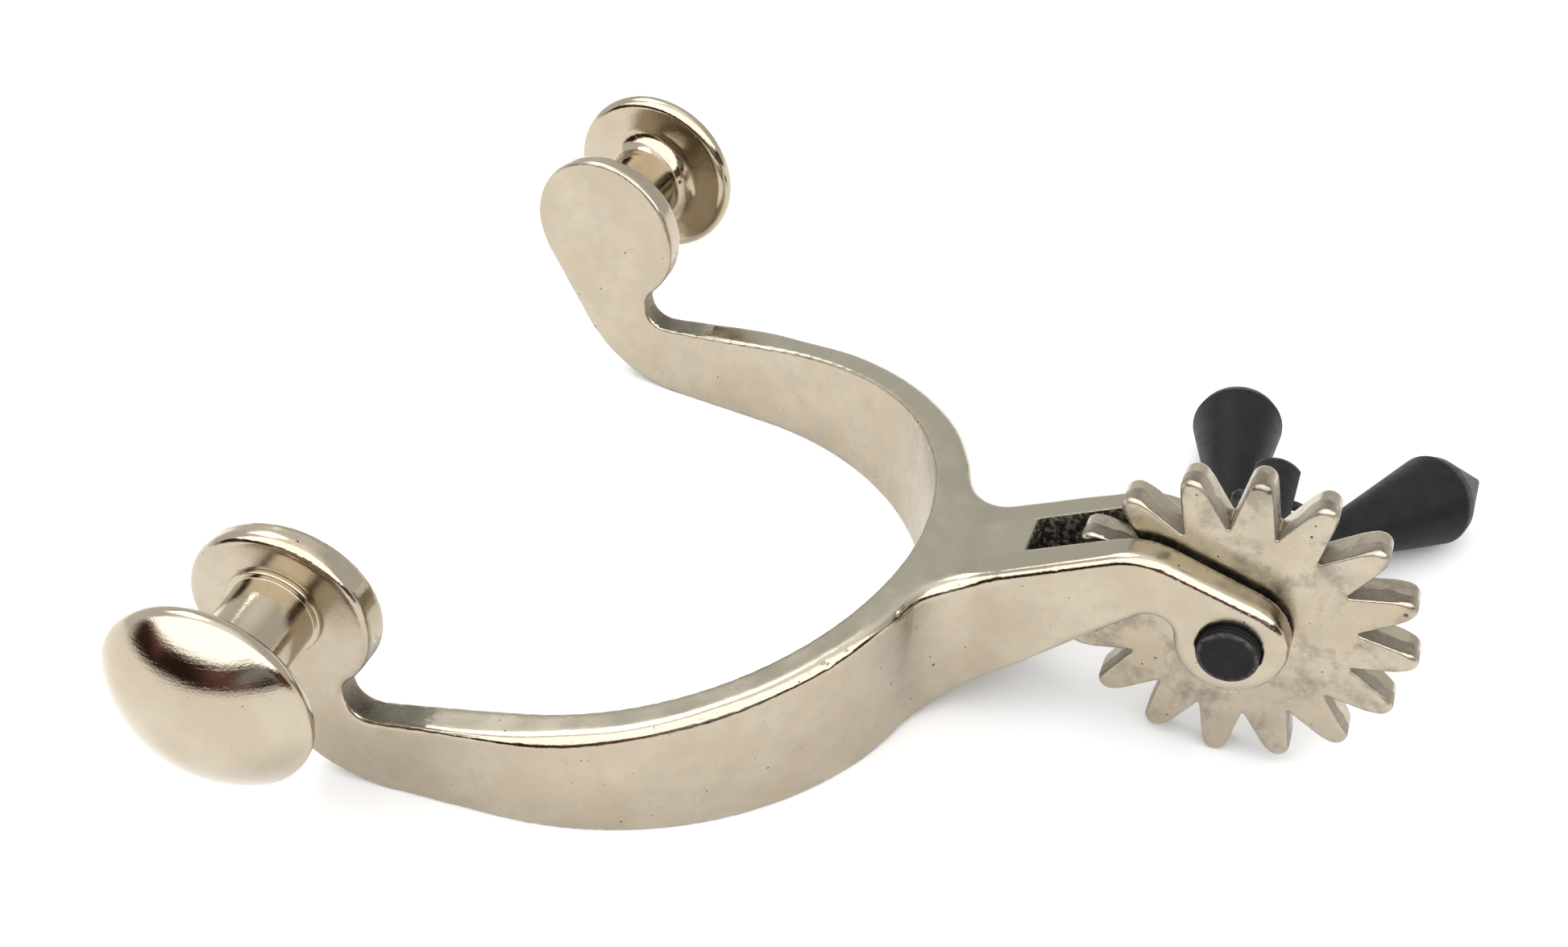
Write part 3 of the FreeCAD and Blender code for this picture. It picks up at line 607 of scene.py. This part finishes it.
def ground_share(point):
    """1 at the outer top edges of the band and shank, which were ground and polished by hand."""
    on_shank = step(point.x, HEEL_RADIUS + 2 * MM, HEEL_RADIUS + 7 * MM)
    band = step(outwardness(point), 0.1, 0.4) * step(point.z, 3 * MM, 8 * MM)
    shank = step(abs(point.y), 2.5 * MM, 3.1 * MM) * step(point.z, 8 * MM, 14 * MM)
    return max(0.0, band * (1 - on_shank) + shank * on_shank)


def ground_radius(point):
    """How round the ground edge is: narrow on the arms, wide along the branches and the ears."""
    swell = step(point.x, -3 * MM, 9 * MM)
    ebb = step(point.x, 17 * MM, 30 * MM)
    ear = step(-point.x, 10.5 * MM, 13 * MM) * step(point.z, 11 * MM, 14 * MM)
    radius = GROUND_ARM + (GROUND_BRANCH - GROUND_ARM) * swell - (GROUND_BRANCH - GROUND_SHANK) * ebb
    return radius + (GROUND_EAR - radius) * ear


def room_for_ball(point):
    """The largest ball that fits in the wall here, clear of the slot, the bores and the seats."""
    inner, outer = wall(point)
    from_pin = math.hypot(point.x - ROWEL_CENTRE.x, point.z - ROWEL_CENTRE.z) - PIN_RADIUS
    from_seat = math.hypot(point.x - SEAT.x, point.z - SEAT.z) - TENON_RADIUS
    clear = min(from_pin, from_seat)
    if point.x > SLOT_START - CLEAR_OF_SLOT:
        beyond_end = max(0.0, SLOT_START - point.x)
        clear = min(clear, math.hypot(max(0.0, abs(point.y) - SLOT_HALF_WIDTH), beyond_end))
    thickness = CHEEK_THICKNESS if point.x > SLOT_START - CLEAR_OF_SLOT else outer - inner
    return min(CRISP_EDGE + BALL_GROWTH * max(0.0, clear), BALL_SHARE * thickness)


def casting_edge(point):
    """The radius of the casting's edges, a little uneven where they were ground by hand."""
    wander = 1 + WANDER * noise_field(point / WANDER_LENGTH)
    radius = SMALL_EDGE + (ground_radius(point) * wander - SMALL_EDGE) * ground_share(point)
    return min(radius, room_for_ball(point))


def groundness(point, normal):
    """1 on the rounded outer top edges themselves, between the flat faces they join."""
    slanting = step(normal.z, 0.05, 0.3) * (1 - step(normal.z, 0.93, 0.985))
    return ground_share(point) * slanting


def ashiness_and_shade(point, normal):
    """1 where the band and shank look up, fading out over the rounded edges and before the ears; the
    darker colour it brings there is partly a dull finish and partly painted shade.
    """
    return step(normal.z, 0.80, 0.90) * step(point.x, NOTCH.x - 4 * MM, NOTCH.x - MM)


def rawness(point, normal):
    """1 inside the rowel slot, and part raw in the notches behind the ears."""
    in_slot = 1 - step(abs(point.y), SLOT_HALF_WIDTH + 0.05 * MM, SLOT_HALF_WIDTH + 0.25 * MM)
    in_slot *= step(point.x, SLOT_START - 0.35 * MM, SLOT_START - 0.15 * MM)
    along_arm = step(point.x, NOTCH.x - 4 * MM, NOTCH.x - 2 * MM)
    along_arm *= 1 - step(point.x, NOTCH.x + 3 * MM, NOTCH.x + 9 * MM)
    from_notch = math.hypot(point.x - NOTCH.x, point.z - NOTCH.z)
    near = 1 - step(from_notch, 4 * MM, 10 * MM)
    on_rim = 1 - step(abs(normal.y), 0.45, 0.7)
    above = step(point.z, 7 * MM, 8 * MM)
    return max(in_slot, NOTCH_RAWNESS * along_arm * near * on_rim * above)


def casting():
    obj = cast_copy("heel_band", "heel_band_casting", CASTING_VOXEL)
    round_edges(obj, "heel_band", casting_edge)
    mark(obj, "raw", rawness)
    mark(obj, "ground", groundness)
    mark(obj, "ashy_and_shade", ashiness_and_shade)
    finish_piece(obj, "spur", ["heel_band"], CAST_NICKEL, crease=0)


def rowel_edge(point):
    """The radius of the rowel's edges: crisp along the teeth, and rounder at their tips."""
    out = (point - ROWEL_CENTRE).length
    return ROWEL_EDGE + (ROWEL_TIP_EDGE - ROWEL_EDGE) * step(out, ROWEL_RADIUS - 2 * MM, ROWEL_RADIUS)


def flank_rawness(point, normal):
    """Part raw on the near half of the teeth's flanks, up to an uneven parting line."""
    flank = 1 - step(abs(normal.y), 0.4, 0.7)
    parting = point.y + 0.5 * MM * noise_field(point / (1.6 * MM))
    outside = step((point - ROWEL_CENTRE).length, 9 * MM, 10 * MM)
    return FLANK_RAWNESS * flank * outside * (1 - step(parting, -0.1 * MM, 0.15 * MM))


def toothed_wheel():
    obj = cast_copy("rowel", "rowel_casting", ROWEL_VOXEL)
    round_edges(obj, "rowel", rowel_edge)
    mark(obj, "raw", flank_rawness)
    finish_piece(obj, "rowel", ["rowel"], ROWEL_NICKEL, crease=0)


casting()
toothed_wheel()


# ---------------------------------------------------------------- strap buttons

TENON_DEPTH = 1.4 * MM
COLLAR_RADIUS = 4.5 * MM
COLLAR_HEIGHT = 0.5 * MM
STEM_RADIUS = 3.9 * MM
HEAD_FLARE = 3.0 * MM
HEAD_RADIUS = 9.54 * MM
RIM_HEIGHT = 10.2 * MM
RIM_ROUND = 1.1 * MM
HEAD_HEIGHT = 16.1 * MM
BUTTON_ROUNDS = (0.1 * MM, 0, 0.08 * MM, 0.2 * MM, 0.12 * MM, HEAD_FLARE)


def strap_button(side):
    """A turned stud: collar, waisted stem, flared underside, round rim and low dome."""
    node = f"button_{side}"
    mount = MOUNTS[f"strap_button_{side}"]
    outline = rounded([
        (0, -TENON_DEPTH), (TENON_RADIUS, -TENON_DEPTH), (TENON_RADIUS, 0), (COLLAR_RADIUS, 0),
        (COLLAR_RADIUS, COLLAR_HEIGHT), (STEM_RADIUS, COLLAR_HEIGHT), (STEM_RADIUS, RIM_HEIGHT),
        (HEAD_RADIUS - RIM_ROUND, RIM_HEIGHT),
    ], BUTTON_ROUNDS, steps=10)
    outline += dome(HEAD_RADIUS, RIM_HEIGHT, HEAD_HEIGHT, RIM_ROUND)[1:]
    obj = turned(node + "_stud", outline, axis_frame(mount["pos_m"], mount["axis"]), segments=128)
    finish_piece(obj, "spur", [node], BUTTON_NICKEL, crease=35)


def dome(radius, rim, top, edge, steps=28):
    """A round rim that runs into a low dome: from the rim's underside up to the axis."""
    centre_height = rim + edge
    above = top - centre_height
    inset = radius - edge
    sphere = (inset ** 2 + above ** 2 - edge ** 2) / (2 * (above - edge))
    meet = math.atan2(sphere - above, inset)
    points = []
    for count in range(steps // 3 + 1):
        angle = -math.pi / 2 + (meet + math.pi / 2) * count / (steps // 3)
        points.append((inset + edge * math.cos(angle), centre_height + edge * math.sin(angle)))
    for count in range(1, steps + 1):
        angle = meet + (math.pi / 2 - meet) * count / steps
        points.append((sphere * math.cos(angle), top - sphere + sphere * math.sin(angle)))
    points[-1] = (0, top)
    return points


for side in SIDES:
    strap_button(side)


# ---------------------------------------------------------------- rowel pin

THREAD_TURNS = 2
THREAD_PITCH = 0.5 * MM
THREAD_DEPTH = 0.12 * MM
THREAD_ROUND = 0.05 * MM
NEAR_ROUND = 0.12 * MM
FAR_ROUND = 0.3 * MM
PIN_CHAMFER = 0.5 * MM
PIN_STEP = 0.35 * MM
FLAT_HALF_WIDTH = 2.2 * MM
FLAT_START = 14 * MM
PIN_RUB = 0.7


def rowel_pin():
    """The pin: chamfered end with a few thread turns, plain shank, and two flats at the far end."""
    low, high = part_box("rowel_pin")
    near, far = low.y, high.y
    corners = [(0, near), (PIN_RADIUS - THREAD_DEPTH, near)]
    half_turns = range(1, 2 * THREAD_TURNS + 2)
    for half_turn in half_turns:
        depth = 0 if half_turn % 2 else THREAD_DEPTH
        corners.append((PIN_RADIUS - depth, near + half_turn * THREAD_PITCH / 2))
    corners += [(PIN_RADIUS, far - PIN_CHAMFER), (PIN_RADIUS - PIN_CHAMFER, far), (0, far)]
    radii = [NEAR_ROUND] + [THREAD_ROUND] * len(half_turns) + [FAR_ROUND] * 2
    outline = even_steps(rounded(corners, radii, steps=4), PIN_STEP)
    axis_point = Vector((ROWEL_CENTRE.x, 0, ROWEL_CENTRE.z))
    obj = turned("rowel_pin_black", outline, axis_frame(axis_point, (0, 1, 0)), segments=128)
    for vertex in obj.data.vertices:
        into = step(vertex.co.y, FLAT_START - 0.5 * MM, FLAT_START + 0.6 * MM)
        offset = vertex.co.x - ROWEL_CENTRE.x
        limit = FLAT_HALF_WIDTH + (PIN_RADIUS - FLAT_HALF_WIDTH) * (1 - into)
        if abs(offset) > limit:
            vertex.co.x = ROWEL_CENTRE.x + math.copysign(limit, offset)
    mark(obj, "rubbed", lambda point, normal: PIN_RUB * pin_rim(point, near, far))
    finish_piece(obj, "spur", ["rowel_pin"], BLACK_OXIDE, crease=30)


def pin_rim(point, near, far):
    """1 at the pin's two chamfered rims, where handling rubs the black away."""
    across = math.hypot(point.x - ROWEL_CENTRE.x, point.z - ROWEL_CENTRE.z)
    at_end = max(step(near + 0.3 * MM - point.y, 0, 0.3 * MM),
                 step(point.y - far + 0.8 * MM, 0, 0.3 * MM))
    return at_end * step(across, PIN_RADIUS - 0.35 * MM, PIN_RADIUS - 0.15 * MM)


def even_steps(outline, longest):
    """The same outline with extra points on its long runs."""
    points = [Vector(outline[0])]
    for start, end in zip(outline, outline[1:]):
        start, end = Vector(start), Vector(end)
        parts = max(1, math.ceil((end - start).length / longest))
        points += [start.lerp(end, count / parts) for count in range(1, parts + 1)]
    return points


rowel_pin()


# ---------------------------------------------------------------- jingle bobs and wires

WIRE_RADIUS = 0.5 * MM
RING_RADIUS = 1.7 * MM
EYE_RADIUS = 1.6 * MM
BOB_NECK = 4.35 * MM
BOB_NECK_RADIUS = 1.8 * MM
BOB_RADIUS = 4.92 * MM
BOB_LENGTH = 17.4 * MM
BOB_POINT = 6.2 * MM
BOB_TIP_RADIUS = 0.3 * MM
BOB_ROUNDS = (0.4 * MM, 1.0 * MM, 0.45 * MM, 0.25 * MM)
BOB_STEP = 0.8 * MM
BOB_RUB = 0.6
WIRE_RUB = 0.35

# A bob's shoulder has two corners: one before its cone's end, and one past it and further in.
SHOULDER_BEFORE = 0.7 * MM
SHOULDER_PAST = 0.6 * MM
SHOULDER_IN = 0.5 * MM

# How the wires bend: an eye and a ring each stop short of a full turn.
EYE_START = math.radians(20)
EYE_SWEEP = math.radians(320)
RING_SWEEP = math.radians(335)
STEM_DEPTH = 2 * MM
STEM_BEFORE_LOOP = 0.3 * MM
LEG_BEND = 0.8 * MM
BEND_SHARE = 0.3
BEND_DROP = 0.2 * MM


def node_middle(node):
    """The mean of a node's corner points, area by area, which lies on a turned piece's axis."""
    data = frame["nodes"][node].data
    total = sum(face.area for face in data.polygons)
    return sum((face.center * face.area for face in data.polygons), Vector()) / total


def bob_place(side):
    """A bob's frame: Z along its axis, with the origin where its neck's CAD outline starts."""
    pivot = Vector(JOINTS[f"bob_{side}_swing"]["pos_m"])
    axis = (node_middle(f"bob_{side}") - pivot).normalized()
    points = [(vertex.co - pivot).dot(axis) for vertex in frame["nodes"][f"bob_{side}"].data.vertices]
    return axis_frame(pivot + axis * (min(points) - BOB_NECK), axis), axis


def jingle_bob(side):
    """A turned pear: small flat neck, long cone, rounded shoulder, and a blunt conical point."""
    place, _ = bob_place(side)
    end = BOB_NECK + BOB_LENGTH
    outline = rounded([
        (0, BOB_NECK), (BOB_NECK_RADIUS, BOB_NECK), (BOB_RADIUS, end - SHOULDER_BEFORE),
        (BOB_RADIUS - SHOULDER_IN, end + SHOULDER_PAST), (BOB_TIP_RADIUS, end + BOB_POINT),
        (0, end + BOB_POINT),
    ], BOB_ROUNDS, steps=8)
    outline = even_steps(outline, BOB_STEP)
    obj = turned(f"jingle_bob_{side}", outline, place, segments=96)
    back = place.inverted()
    shoulder = end + 0.3 * MM

    def shoulder_rub(point, normal):
        from_shoulder = abs((back @ point).z - shoulder)
        return BOB_RUB * step(0.5 * MM - from_shoulder, 0, 0.4 * MM)

    mark(obj, "rubbed", shoulder_rub)
    finish_piece(obj, f"bob_{side}", [f"bob_{side}"], BLACK_OXIDE, crease=28)


def wire(name, paths, body, node):
    """Round wire bent along each path in turn."""
    curve = bpy.data.curves.new(name, "CURVE")
    curve.dimensions = "3D"
    curve.bevel_depth = WIRE_RADIUS
    curve.bevel_resolution = 5
    curve.use_fill_caps = True
    for points in paths:
        spline = curve.splines.new("POLY")
        spline.points.add(len(points) - 1)
        for target, point in zip(spline.points, points):
            target.co = (*point, 1)
    shape = link(bpy.data.objects.new(name + "_path", curve))
    graph = bpy.context.evaluated_depsgraph_get()
    mesh = bpy.data.meshes.new_from_object(shape.evaluated_get(graph))
    bpy.data.objects.remove(shape)
    obj = link(bpy.data.objects.new(name, mesh))
    mark(obj, "rubbed", lambda point, normal: WIRE_RUB)
    finish_piece(obj, body, [node], BLACK_WIRE, crease=0)


def loop_points(place, radius, start, sweep, steps=40):
    """Points round a loop in a frame's XZ plane, from a start angle measured from its Z axis."""
    angles = [start + sweep * count / steps for count in range(steps + 1)]
    return [place @ Vector((radius * math.sin(angle), 0, radius * math.cos(angle)))
            for angle in angles]


def bob_eye(side):
    """A wire eye: its stem comes out of the bob's neck and curls back into a loop."""
    place, axis = bob_place(side)
    upright = Vector(JOINTS[f"bob_{side}_swing"]["axis"])
    across = upright.cross(axis).cross(axis).normalized()
    turn = Matrix((across, axis.cross(across), axis)).transposed().to_4x4()
    eye = Matrix.Translation(place @ Vector((0, 0, EYE_RADIUS))) @ turn
    loop = loop_points(eye, EYE_RADIUS, EYE_START, EYE_SWEEP)
    heights = (BOB_NECK + STEM_DEPTH, BOB_NECK, 2 * EYE_RADIUS + STEM_BEFORE_LOOP)
    stem = [place @ Vector((0, 0, height)) for height in heights]
    wire(f"bob_eye_wire_{side}", [stem + loop], f"bob_{side}", f"bob_eye_{side}")


def hanger():
    """One wire through the pin's cross hole, bent down at both sides and curled into rings."""
    centre = Vector(JOINTS["hanger_swing"]["pos_m"])
    path = []
    for side in SIDES:
        ring = Vector(JOINTS[f"bob_{side}_swing"]["pos_m"])
        leg_top = Vector((ring.x, centre.y, centre.z))
        down = (ring - leg_top).normalized()
        normal = Vector(JOINTS[f"bob_{side}_swing"]["axis"])
        turn = Matrix((down.cross(normal), normal, -down)).transposed().to_4x4()
        loop = loop_points(Matrix.Translation(ring) @ turn, RING_RADIUS, 0, RING_SWEEP)
        bar_end = leg_top + (centre - leg_top).normalized() * LEG_BEND
        bend = leg_top.lerp(bar_end, BEND_SHARE) + down * BEND_DROP
        half = [centre, bar_end, bend, leg_top + down * LEG_BEND] + loop
        path = half[::-1] + path if side == "left" else path + half[1:]
    wire("hanger_wire", [path], "hanger", "hanger_link")


for side in SIDES:
    jingle_bob(side)
    bob_eye(side)
hanger()
